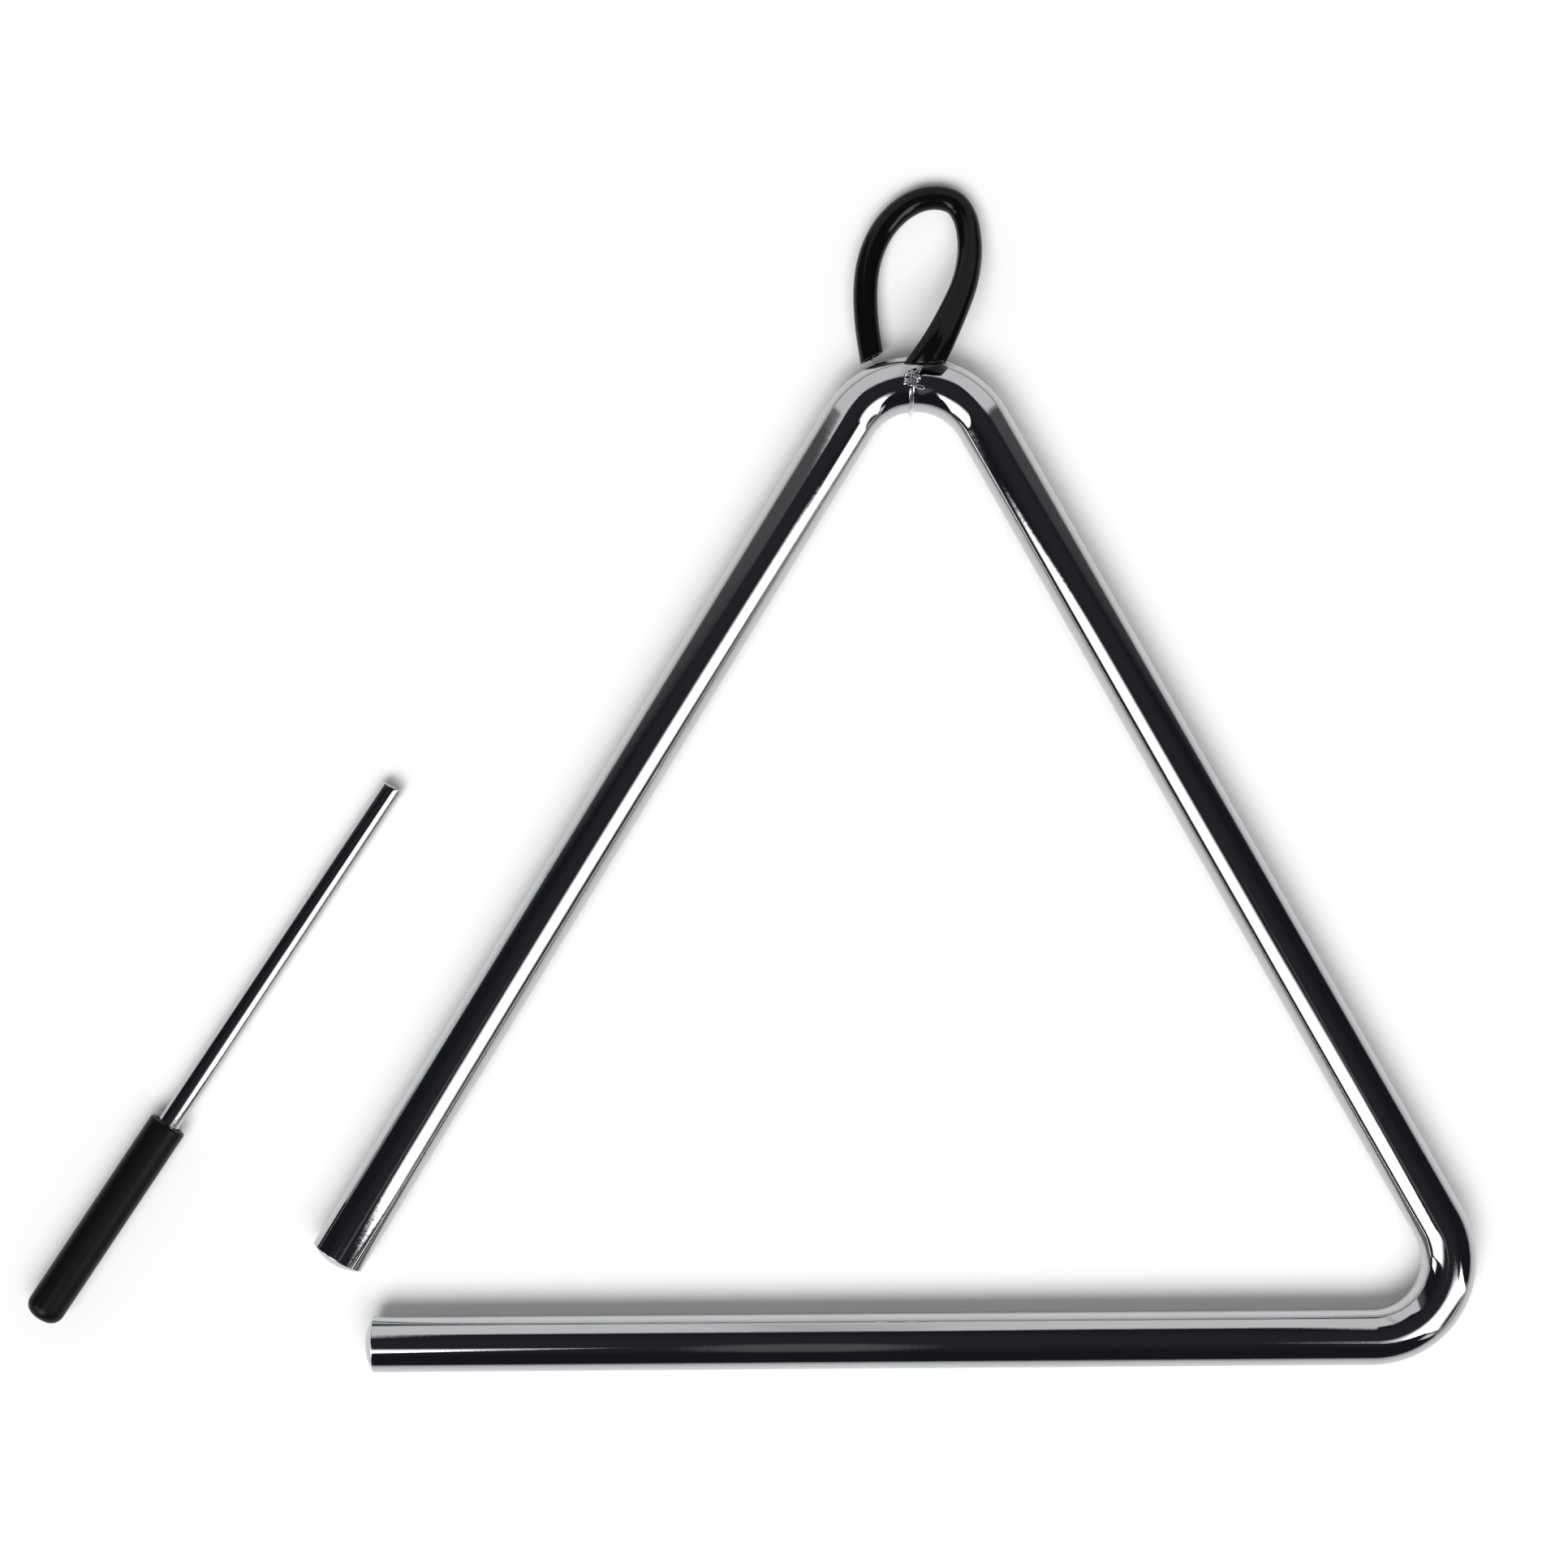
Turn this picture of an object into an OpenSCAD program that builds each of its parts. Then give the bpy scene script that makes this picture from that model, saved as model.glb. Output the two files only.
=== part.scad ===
// Triangle instrument: an open bent bar, a tube hanger at its apex and a beater beside it.
// It lies on a table at Z 0, with its base leg along X, its apex towards +Y and Z up.
// Sizes are in millimetres and angles in degrees.

/* [Bar] */
// Diameter of the steel bar
bar_diameter = 10; // [9:0.1:11]
// Straight length of the base leg, from its bend to its free end
base_straight = 181.6; // [150:0.2:230]
// Straight length of the right leg, between the two bends
right_straight = 165.5; // [150:0.1:200]
// Straight length of the left leg, from its bend to its free end
left_straight = 178; // [140:0.2:184]
// Inside angle of the closed corner at the right
corner_angle = 60.7; // [59:0.1:63]
// Inside angle at the apex
apex_angle = 61.2; // [59.5:0.1:63]
// Radius of the closed corner, to the bar's centre line
corner_bend_radius = 14; // [11:0.1:18]
// Radius of the apex bend, to the bar's centre line
apex_bend_radius = 14.2; // [13:0.1:17]
// Height of the crowned free ends
end_dome = 1.1; // [0.5:0.1:2]

/* [Hanger sleeve] */
// Outside diameter of the tube
sleeve_diameter = 4.4; // [4:0.1:4.8]
// Wall of the tube
sleeve_wall = 0.75; // [0.6:0.05:0.9]
// Width of the loop, about the tube's centre line
loop_width = 18.5; // [17:0.1:21]
// Reach of the loop beyond the bar's outer side, to the tube's centre line
loop_reach = 29.1; // [26:0.1:36]
// Width of the pinched end
pinch_width = 6.4; // [5.6:0.1:6.8]
// Depth of the crease along the pinched end
crease_depth = 0.35; // [0.1:0.05:0.4]
// Room under the pinched end, in which it swings round the bar
swing_gap = 1; // [0.9:0.05:1.3]
// Slant of the cut at the open end
cut_slant = 20; // [0:1:26]

/* [Hanger line] */
// Diameter of the clear line
line_diameter = 0.7; // [0.6:0.05:0.8]
// Room between the line and the bar
line_gap = 0.25; // [0.2:0.05:0.35]
// Room between the line and the pinched tube, above and below
line_slack = 0.12; // [0.1:0.01:0.2]
// Room between the knot's turns and the strand that they wrap
knot_room = 0.5; // [0.46:0.01:0.6]
// Length of the knot
knot_length = 2.7; // [2.6:0.1:3.2]
// Length of the cut end that stands out of the knot
tail_length = 2.2; // [1.6:0.1:3]
// Distance of the knot to the left of the loop's hinge point
knot_left = 0.7; // [0.4:0.1:1]

/* [Beater] */
// Diameter of the beater's rod
rod_diameter = 4; // [3:0.1:5]
// Length of the rod that the grip leaves bare
rod_bare = 73.5; // [50:0.5:110]
// Length of the rod inside the grip
rod_held = 39.7; // [24:0.5:60]
// Chamfer on the rod's ends
rod_chamfer = 0.25; // [0.1:0.05:0.6]
// Outside diameter of the grip
grip_diameter = 7; // [6.2:0.1:9]
// Thickness of the grip's closed end
grip_end = 2.2; // [1.2:0.1:4]
// Rounding of the grip's closed end
grip_round = 2.4; // [1:0.1:2.8]
// Rounding of the lip at the grip's mouth
lip_round = 0.5; // [0.2:0.05:0.6]
// Room between the rod and the grip's bore
grip_fit = 0.02; // [0.01:0.01:0.05]
// Distance of the beater's tip to the right of the base leg's free end
beater_right = 5.6; // [-10:0.1:10]
// Distance of the beater's tip above the base leg's centre line
beater_up = 100.8; // [90:0.1:110]
// Direction in which the beater points from its tip
beater_angle = 236; // [228:0.5:240]

/* [Hidden] */
$fn = 96;
arc_steps = 8;
sleeve_sides = 16;
sleeve_steps = 3;
line_sides = 8;
line_steps = 2;
wrap_steps = 18;
knot_turns = 1.8;
knot_steps = 16;
// How far each straight run reaches into a bend, and how much thinner bending draws the bar
bend_lap = 0.1;
bend_draw_share = 0.002;

bar_radius = bar_diameter / 2;
sleeve_radius = sleeve_diameter / 2;
line_radius = line_diameter / 2;
rod_radius = rod_diameter / 2;
grip_radius = grip_diameter / 2;

function heading(a) = [cos(a), sin(a)];
function mix(a, b, s) = a + (b - a) * s;
function unit(v) = v / norm(v);
function at(list, i) = list[max(0, min(len(list) - 1, i))];
function tangent(list, i) = unit(at(list, i + 1) - at(list, i - 1));

// Smooth curve through a route's points
function curve_point(a, b, c, d, s) = (2 * b + (c - a) * s + (2 * a - 5 * b + 4 * c - d) * s * s
    + (3 * b - a - 3 * c + d) * s * s * s) / 2;
function curve(list, steps) = concat(
    [for (i = [0:len(list) - 2], k = [0:steps - 1])
        curve_point(at(list, i - 1), list[i], list[i + 1], at(list, i + 2), k / steps)],
    [list[len(list) - 1]]);

// Part of a circle from angle a to angle b about a centre
function arc(centre, r, a, b) = [for (i = [0:arc_steps])
    centre + r * heading(mix(a, b, i / arc_steps))];

// Plan of the bar, with the closed corner's sharp point at X 0, Y 0
right_turn = 180 - corner_angle;
left_turn = right_turn + 180 - apex_angle;
corner_tangent = corner_bend_radius / tan(corner_angle / 2);
base_reach = corner_tangent + base_straight;
corner_centre = [-corner_tangent, corner_bend_radius];
right_start = corner_tangent * heading(right_turn);
right_end = right_start + right_straight * heading(right_turn);
apex_centre = right_end + apex_bend_radius * heading(right_turn + 90);
left_start = apex_centre + apex_bend_radius * heading(left_turn - 90);
hinge_place = apex_centre + [0, apex_bend_radius];

// The line passes under the bar at the hinge point, so the bar is propped up there
wrap_radius = bar_radius + line_gap + line_radius;
apex_lift = line_gap + line_diameter;
rest_tilt = asin(apex_lift / hinge_place[1]);

// The beater lies on its rod's tip and on its grip's lip
grip_length = rod_held + grip_end;
beater_tilt = atan((grip_radius - rod_radius) / (rod_bare + lip_round));
beater_place = [beater_right - base_reach, beater_up];

// The origin lies on the table in the middle of everything seen from above
left_edge = beater_place[0] + cos(beater_angle) * (rod_bare + grip_length - grip_round)
    + sin(beater_angle) * (grip_radius - grip_round) - grip_round;
right_edge = corner_bend_radius - corner_tangent + bar_radius;
top_edge = hinge_place[1] + bar_radius + loop_reach + sleeve_radius;
middle = [(left_edge + right_edge) / 2, (top_edge - bar_radius) / 2];

// Route of the loop from the open end to the pinched end, seen from the hinge point, as
// shares of the loop's width, of its reach and of the rise from the table to the pinch
loop_shares = [
    [-0.414, 0.004, 0.1], [-0.458, 0.2, 0.08], [-0.472, 0.4, 0.06], [-0.445, 0.57, 0.04],
    [-0.375, 0.71, 0.02], [-0.265, 0.83, 0.01], [-0.105, 0.93, 0], [0.08, 0.99, 0],
    [0.265, 1, 0], [0.415, 0.965, 0.01], [0.505, 0.88, 0.03], [0.545, 0.76, 0.1],
    [0.545, 0.62, 0.21], [0.49, 0.45, 0.42], [0.375, 0.27, 0.68], [0.225, 0.08, 0.93],
    [0.08, -0.07, 1]
];
mouth_share = loop_shares[len(loop_shares) - 1];
pinch_height = line_diameter + 2 * (line_slack + sleeve_wall);
pinch_radius = bar_radius + swing_gap + pinch_height / 2;
mouth_y = bar_radius + mouth_share[1] * loop_reach;
mouth_z = sqrt(pinch_radius * pinch_radius - mouth_y * mouth_y);
mouth_angle = atan2(mouth_z, mouth_y);
function table_z(y) = sleeve_radius - bar_radius - apex_lift - y * sin(rest_tilt);
function loop_point(s) = let (y = bar_radius + s[1] * loop_reach)
    [s[0] * loop_width, y, mix(table_z(y), mouth_z, s[2])];
loop_route = [for (s = loop_shares) loop_point(s)];

// Sections of the sleeve: round up to the share where the pinch starts, then ever flatter,
// with two lobes and a crease between them on the upper side
pinch_share = 0.66;
pinch_power = 2.2;
lobe_power = 0.75;
crease_share = 0.45;
cut_share = 0.12;
sleeve_path = curve(loop_route, sleeve_steps);
function pinch(s) = pow(max(0, (s - pinch_share) / (1 - pinch_share)), pinch_power);
function lobe(a) = sign(sin(a)) * pow(abs(sin(a)), lobe_power);
function crease(a) = sin(a) < 0 ? 0 : 1 - pow(min(1, abs(cos(a)) / crease_share), 2);
function cut_lean(s, t) = tan(cut_slant) * max(0, 1 - s / cut_share)
    + t[0] / t[1] * max(0, 1 - (1 - s) / cut_share);
function sleeve_ring(i, inset) = let (
        share = i / (len(sleeve_path) - 1),
        s = pinch(share),
        t = tangent(sleeve_path, i),
        over = unit([0, 0, 1] - t[2] * t),
        across = cross(t, over),
        lean = cut_lean(share, t),
        wide = mix(sleeve_radius, pinch_width / 2, s) - inset,
        high = mix(sleeve_radius, pinch_height / 2, s) - inset,
        dent = inset > 0 ? 0 : s * crease_depth)
    [for (k = [0:sleeve_sides - 1]) let (
            a = 360 * k / sleeve_sides,
            u = wide * cos(a),
            v = high * mix(sin(a), lobe(a), s) - dent * crease(a))
        sleeve_path[i] + u * (across + lean * t) + v * over];

// Places about the bar: x along it, r from its centre line, a from its outer side upwards,
// and the same round its bend, b from the hinge point
function around(x, r, a) = [x, r * cos(a), r * sin(a)];
function on_bend(b, r, a) = let (reach = apex_bend_radius + r * cos(a))
    [reach * sin(b), reach * cos(b) - apex_bend_radius, r * sin(a)];

// Knot: the strand from the pinched end winds round the strand that comes over the bar
knot_exit = 20;
knot_gap = 7;
knot_ring = line_diameter + knot_room;
knot_radius = bar_radius + line_gap + line_radius + knot_ring;
knot_turn = knot_length / knot_radius * 180 / PI;
knot_near = mouth_angle + knot_gap;
function knot_point(s) = let (b = knot_exit - 360 * knot_turns * (1 - s))
    around(knot_ring * cos(b) - knot_left, knot_radius + knot_ring * sin(b),
        knot_near + knot_turn * (1 - s));
knot_coil = [for (i = [0:knot_steps]) knot_point(i / knot_steps)];
// Cut end, from its tip: shares of its length to the right, upwards and away from the mouth
tail_shares = [[0.9, 0.45, 0.35], [0.55, 0.2, 0.25], [0.25, 0.04, 0.12]];
tail_route = [for (s = tail_shares) knot_coil[0] + tail_length * [s[0], -s[2], s[1]]];

// Inside the sleeve the line keeps to the tube's centre line
line_inside = curve([for (i = [len(loop_route) - 1:-1:0]) loop_route[i]], line_steps);

// Link from the open end to the turn round the bar: shares of the way along the bend, of
// the room beyond the turn's radius and of the way round the bar
link_shares = [[1, 0.65, 0.08], [0.95, 0.26, 0.28], [0.81, 0.12, 0.4], [0.58, 0.1, 0.53],
    [0.33, 0.06, 0.69]];
wrap_from = -40;
wrap_to = -225;
open_place = loop_route[0];
open_reach = norm([open_place[0], open_place[1] + apex_bend_radius]) - apex_bend_radius;
open_bend = atan2(open_place[0], open_place[1] + apex_bend_radius);
open_angle = atan2(open_place[2], open_reach);
open_radius = norm([open_reach, open_place[2]]);
line_link = [for (s = link_shares) on_bend(s[0] * open_bend,
    mix(wrap_radius, open_radius, s[1]), mix(open_angle, wrap_from, s[2]))];

// Turn round the bar, then up into the knot
wrap_share = 1.6;
line_wrap = [for (i = [0:wrap_steps]) let (s = i / wrap_steps)
    around(-knot_left * mix(wrap_share, 1, s), wrap_radius, mix(wrap_from, wrap_to, s))];
rise_shares = [0.12, 0.45, 0.8, 1];
knot_far = knot_near + knot_turn - 360;
line_rise = [for (i = [0:3]) around(-knot_left, mix(wrap_radius, knot_radius, rise_shares[i]),
    mix(wrap_to, knot_far, (i + 1) / 4))];
line_through = [for (s = [0.3, 0.6, 0.9]) around(-knot_left, knot_radius, knot_far - knot_turn * s)];
line_path = concat(tail_route, knot_coil, line_inside, line_link, line_wrap, line_rise,
    line_through);

// Frames that turn no more than the line does, and the rings round it
function square_to(n, t) = unit(n - (n * t) * t);
line_frames = [for (i = 0, n = square_to([0, 0, 1], tangent(line_path, 0));
        i < len(line_path);
        i = i + 1, n = square_to(n, tangent(line_path, i)))
    n];
function line_ring(i) = let (t = tangent(line_path, i), n = line_frames[i])
    [for (k = [0:line_sides - 1]) let (a = 360 * k / line_sides)
        line_path[i] + line_radius * (cos(a) * cross(t, n) + sin(a) * n)];

// Least gap of the line to itself, from each point to each stretch that lies further along
function off(p, a, b) = let (s = ((p - a) * (b - a)) / ((b - a) * (b - a)))
    norm(p - mix(a, b, max(0, min(1, s))));
line_marks = [for (i = 0, d = 0; i < len(line_path);
    d = d + norm(at(line_path, i + 1) - line_path[i]), i = i + 1) d];
apart = 3 * line_diameter;
line_gaps = [for (i = [0:len(line_path) - 1], k = [0:len(line_path) - 2])
    if (line_marks[k] > line_marks[i] + apart || line_marks[k + 1] < line_marks[i] - apart)
        off(line_path[i], line_path[k], line_path[k + 1]) - line_diameter];
echo(line_length = line_marks[len(line_marks) - 1], least_gap_to_itself = min(line_gaps));

// Faces between rings of equal size, given the number of the first point
function wall(first, rings, sides, out) = [for (i = [0:rings - 2], k = [0:sides - 1]) let (
        a = first + i * sides + k,
        b = first + i * sides + (k + 1) % sides)
    each out ? [[a, b, b + sides], [a, b + sides, a + sides]]
        : [[a, b + sides, b], [a, a + sides, b + sides]]];
function rim(a, b, sides, out) = [for (k = [0:sides - 1]) let (j = (k + 1) % sides)
    each out ? [[a + k, b + k, b + j], [a + k, b + j, a + j]]
        : [[a + k, b + j, b + k], [a + k, a + j, b + j]]];
function cap(first, sides, out) = [for (k = [1:sides - 2])
    out ? [first, first + k, first + k + 1] : [first, first + k + 1, first + k]];

module lay() translate([-middle[0], -middle[1], bar_radius]) rotate([rest_tilt, 0, 0]) children();
module at_hinge() lay() translate(hinge_place) children();
module lay_beater() translate([-middle[0], -middle[1], 0]) translate(beater_place)
    rotate([0, 0, beater_angle]) translate([0, 0, rod_radius * cos(beater_tilt)])
    rotate([0, 90 - beater_tilt, 0]) children();

// A straight run of the bar, and how far it reaches past each end
module run(from, turn, length, before, after)
    translate(from) rotate([0, 90, turn]) translate([0, 0, -before])
        cylinder(r = bar_radius, h = before + length + after);

// A bend, whose section is the bar's, drawn thinner by the bending
module bend(centre, radius, from, turn)
    translate(centre) rotate([0, 0, from]) rotate_extrude(angle = turn)
        translate([radius, 0]) circle(r = bar_radius * (1 - bend_draw_share));

// Crowned end of a run, part of a sphere
crown_radius = (bar_radius * bar_radius + end_dome * end_dome) / (2 * end_dome);
crown_half = asin(bar_radius / crown_radius);
module dome(from, turn)
    translate(from) rotate([0, 90, turn]) rotate_extrude() polygon(concat([[0, 0]],
        [for (i = [arc_steps:-1:1]) let (a = crown_half * i / arc_steps)
            [crown_radius * sin(a), crown_radius * (cos(a) - cos(crown_half))]],
        [[0, end_dome]]));

module triangle_bar() color("silver") lay() union() {
    run([end_dome - base_reach, 0], 0, base_straight - end_dome, 0, bend_lap);
    dome([end_dome - base_reach, 0], 180);
    bend(corner_centre, corner_bend_radius, -90, right_turn);
    run(right_start, right_turn, right_straight, bend_lap, bend_lap);
    bend(apex_centre, apex_bend_radius, right_turn - 90, left_turn - right_turn);
    run(left_start, left_turn, left_straight - end_dome, bend_lap, 0);
    dome(left_start + (left_straight - end_dome) * heading(left_turn), left_turn);
}

// Tube that is round at its open end and pinched flat, with a crease, at the other
module hanger_sleeve() color("dimgray") at_hinge() {
    rings = len(sleeve_path);
    far = (rings - 1) * sleeve_sides;
    bore = rings * sleeve_sides;
    polyhedron(
        points = [for (inset = [0, sleeve_wall], i = [0:rings - 1]) each sleeve_ring(i, inset)],
        faces = concat(
            wall(0, rings, sleeve_sides, true),
            wall(bore, rings, sleeve_sides, false),
            rim(0, bore, sleeve_sides, true),
            rim(far, bore + far, sleeve_sides, false)));
}

// One unbroken line: cut end, knot, sleeve, turn round the bar and back into the knot
module hanger_line() color("lightblue") at_hinge() {
    rings = len(line_path);
    polyhedron(points = [for (i = [0:rings - 1]) each line_ring(i)], faces = concat(
        wall(0, rings, line_sides, true),
        cap(0, line_sides, false),
        cap((rings - 1) * line_sides, line_sides, true)));
}

module beater_rod() color("gainsboro") lay_beater() rotate_extrude() polygon([
    [0, 0], [rod_radius - rod_chamfer, 0], [rod_radius, rod_chamfer],
    [rod_radius, rod_bare + rod_held - rod_chamfer],
    [rod_radius - rod_chamfer, rod_bare + rod_held], [0, rod_bare + rod_held]]);

// Grip with a soft lip at its mouth, a rounded closed end and a bore for the rod
module beater_grip() color("black") lay_beater() translate([0, 0, rod_bare]) {
    bore = rod_radius + grip_fit;
    soft = min(lip_round, (grip_radius - bore) / 2);
    rotate_extrude() polygon(concat(
        [[0, grip_length], [0, rod_held + grip_fit], [bore, rod_held + grip_fit]],
        arc([bore + soft, soft], soft, 180, 270),
        arc([grip_radius - soft, soft], soft, -90, 0),
        arc([grip_radius - grip_round, grip_length - grip_round], grip_round, 0, 90)));
}

triangle_bar();
hanger_sleeve();
hanger_line();
beater_rod();
beater_grip();
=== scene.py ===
"""Triangle instrument with its hanger and beater, lying on a pale table under studio light."""
import bpy
import math
from mathutils import Matrix, Vector


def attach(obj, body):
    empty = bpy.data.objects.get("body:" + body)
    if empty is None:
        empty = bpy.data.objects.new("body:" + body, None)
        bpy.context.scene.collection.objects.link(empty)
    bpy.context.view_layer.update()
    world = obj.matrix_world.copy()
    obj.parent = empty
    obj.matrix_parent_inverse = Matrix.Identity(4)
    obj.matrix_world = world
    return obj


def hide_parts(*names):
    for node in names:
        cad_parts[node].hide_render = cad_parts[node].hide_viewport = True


MM = 0.001
UP = Vector((0, 0, 1))


# Sizes of the real object, in metres and degrees

# Bar: its straight runs, the angles between its legs, its bends and its crowned ends
BAR_R = 5 * MM
BASE_STRAIGHT = 181.6 * MM
RIGHT_STRAIGHT = 165.5 * MM
LEFT_STRAIGHT = 178 * MM
CORNER_ANGLE = 60.7
APEX_ANGLE = 61.2
CORNER_R = 14 * MM
APEX_R = 14.2 * MM
END_DOME = 1.5 * MM

# Hanger's tube: its wall, its loop, its pinched end over the bar and its slanted open end
SLEEVE_R = 2.2 * MM
SLEEVE_WALL = 0.75 * MM
LOOP_WIDTH = 18.5 * MM
LOOP_REACH = 29.1 * MM
PINCH_WIDTH = 6.4 * MM
CREASE_DEPTH = 0.6 * MM
SWING_GAP = 1 * MM
CUT_SLANT = 20

# Hanger's line: its gap to the bar, its play in the tube, its knot and its cut end
LINE_R = 0.35 * MM
LINE_GAP = 0.25 * MM
LINE_SLACK = 0.12 * MM
KNOT_ROOM = 0.5 * MM
KNOT_LENGTH = 2.7 * MM
KNOT_LEFT = 0.7 * MM
KNOT_TURNS = 1.8
TAIL_LENGTH = 2.2 * MM

# Beater: its rod, its grip, and the place of the rod's tip from the base leg's tip
ROD_R = 2 * MM
ROD_BARE = 73.5 * MM
ROD_HELD = 39.7 * MM
GRIP_R = 3.5 * MM
GRIP_END = 2.2 * MM
GRIP_ROUND = 2.4 * MM
LIP_ROUND = 0.5 * MM
BEATER_RIGHT = 5.6 * MM
BEATER_UP = 100.8 * MM
BEATER_ANGLE = 236

# Camera: straight above, its frame's width at the height of the bar's centre line
VIEW_WIDTH = 283 * MM
VIEW_DISTANCE = 684 * MM
VIEW_X = 6.46 * MM
VIEW_Y = -1.3 * MM
VIEW_ROLL = -0.426
SENSOR = 36


def heading(angle):
    """The level direction at an angle in degrees from +X."""
    a = math.radians(angle)
    return Vector((math.cos(a), math.sin(a), 0))


def skyward(azimuth, elevation):
    """The direction that rises by an elevation from a level one."""
    el = math.radians(elevation)
    return math.cos(el) * heading(azimuth) + math.sin(el) * UP


def mix(a, b, s):
    return a + (b - a) * s


def smooth(low, high, value):
    """0 at low, 1 at high and a soft rise between them."""
    s = max(0.0, min(1.0, (value - low) / (high - low)))
    return s * s * (3 - 2 * s)


# Plan of the bar, as in the part, with the closed corner's sharp point at 0, 0

RIGHT_TURN = 180 - CORNER_ANGLE
LEFT_TURN = RIGHT_TURN + 180 - APEX_ANGLE
CORNER_TANGENT = CORNER_R / math.tan(math.radians(CORNER_ANGLE / 2))
BASE_REACH = CORNER_TANGENT + BASE_STRAIGHT
CORNER_CENTRE = Vector((-CORNER_TANGENT, CORNER_R, 0))
RIGHT_START = CORNER_TANGENT * heading(RIGHT_TURN)
RIGHT_END = RIGHT_START + RIGHT_STRAIGHT * heading(RIGHT_TURN)
APEX_CENTRE = RIGHT_END + APEX_R * heading(RIGHT_TURN + 90)
LEFT_START = APEX_CENTRE + APEX_R * heading(LEFT_TURN - 90)
LEFT_END = LEFT_START + LEFT_STRAIGHT * heading(LEFT_TURN)
HINGE = APEX_CENTRE + Vector((0, APEX_R, 0))

# The line under the bar lifts the apex, and the thick grip tilts the beater
WRAP_R = BAR_R + LINE_GAP + LINE_R
APEX_LIFT = LINE_GAP + 2 * LINE_R
REST_TILT = math.asin(APEX_LIFT / HINGE.y)
GRIP_LENGTH = ROD_HELD + GRIP_END
BEATER_TILT = math.atan((GRIP_R - ROD_R) / (ROD_BARE + LIP_ROUND))
BEATER_PLACE = Vector((BEATER_RIGHT - BASE_REACH, BEATER_UP, 0))

# The set's box, whose middle is the frame's origin
LEFT_EDGE = (BEATER_PLACE.x + heading(BEATER_ANGLE).x * (ROD_BARE + GRIP_LENGTH - GRIP_ROUND)
             + heading(BEATER_ANGLE).y * (GRIP_R - GRIP_ROUND) - GRIP_ROUND)
RIGHT_EDGE = CORNER_R - CORNER_TANGENT + BAR_R
TOP_EDGE = HINGE.y + BAR_R + LOOP_REACH + SLEEVE_R
MIDDLE = Vector(((LEFT_EDGE + RIGHT_EDGE) / 2, (TOP_EDGE - BAR_R) / 2, 0))

# Places at rest of the bar, of what is built about the apex, and of the beater, built upright
LAY = Matrix.Translation((-MIDDLE.x, -MIDDLE.y, BAR_R)) @ Matrix.Rotation(REST_TILT, 4, "X")
AT_HINGE = LAY @ Matrix.Translation(HINGE)
LAY_BEATER = (Matrix.Translation(BEATER_PLACE - MIDDLE)
              @ Matrix.Rotation(math.radians(BEATER_ANGLE), 4, "Z")
              @ Matrix.Translation((0, 0, ROD_R * math.cos(BEATER_TILT)))
              @ Matrix.Rotation(math.pi / 2 - BEATER_TILT, 4, "Y"))


# Materials

# Where most of a noise's values lie, and where its smears turn from smooth to rough
NOISE_SPAN = (0.3, 0.7)
CHROME_SMEAR_SPAN = (0.35, 0.75)
PVC_SMEAR_SPAN = (0.3, 0.75)

# Colours, the shares by which clouds and smears change a colour or a roughness, and the bumps
CHROME_TINT = (0.66, 0.67, 0.68)
CHROME_CLOUD = 0.95
CHROME_SMEAR = (0.6, 1.6)
CHROME_SWELL = 6
CHROME_BUMP = 0.004 * MM
PVC_TINT = (1, 1.02, 1.18)
PVC_CLOUD = 1.12
PVC_SMEAR = (0.93, 1.1)
PVC_BUMP = 0.01 * MM
PVC_BUMP_SHARE = 0.4
LINE_TINTS = ((0.93, 0.95, 0.96), (0.8, 0.83, 0.85))
LINE_ROUGHNESS = (0.03, 0.12)
LINE_IOR = 1.16


def new_material(name):
    """A material with its node tree and its shader."""
    mat = bpy.data.materials.new(name)
    mat.use_nodes = True
    tree = mat.node_tree
    return mat, tree, tree.nodes["Principled BSDF"]


def new_glow(name):
    """A material with its node tree and a plain white emission in the shader's place."""
    mat, tree, bsdf = new_material(name)
    tree.nodes.remove(bsdf)
    return mat, tree, tree.nodes.new("ShaderNodeEmission")


def show(tree, shader):
    """Make a shader the material's surface."""
    tree.links.new(shader, tree.nodes["Material Output"].inputs["Surface"])


def noise(tree, cells, detail, rough=0.5):
    """A noise texture in object coordinates, with about this many cells a metre."""
    coord = tree.nodes.new("ShaderNodeTexCoord")
    tex = tree.nodes.new("ShaderNodeTexNoise")
    tex.inputs["Scale"].default_value = cells
    tex.inputs["Detail"].default_value = detail
    tex.inputs["Roughness"].default_value = rough
    tree.links.new(coord.outputs["Object"], tex.inputs["Vector"])
    return tex.outputs["Fac"]


def ramp(tree, fac, places, colours, socket):
    """Lead a factor to a socket through a ramp that has these colours at these places."""
    node = tree.nodes.new("ShaderNodeValToRGB")
    elements = node.color_ramp.elements
    for place in places[2:]:
        elements.new(place)
    for element, place, colour in zip(elements, places, colours):
        element.position = place
        element.color = (*colour, 1)
    tree.links.new(fac, node.inputs["Fac"])
    tree.links.new(node.outputs["Color"], socket)


def grey(value):
    return (value, value, value)


def greys(value, shares):
    return [grey(value * share) for share in shares]


def scaled(colour, share):
    return tuple(c * share for c in colour)


def bump(tree, bsdf, height, distance, strength=1.0):
    node = tree.nodes.new("ShaderNodeBump")
    node.inputs["Distance"].default_value = distance
    node.inputs["Strength"].default_value = strength
    tree.links.new(height, node.inputs["Height"])
    tree.links.new(node.outputs["Normal"], bsdf.inputs["Normal"])


def math_node(tree, operation, *values):
    """The output of a math node whose values are numbers or other nodes' outputs."""
    node = tree.nodes.new("ShaderNodeMath")
    node.operation = operation
    for socket, value in zip(node.inputs, values):
        if isinstance(value, (int, float)):
            socket.default_value = value
        else:
            tree.links.new(value, socket)
    return node.outputs[0]


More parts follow.
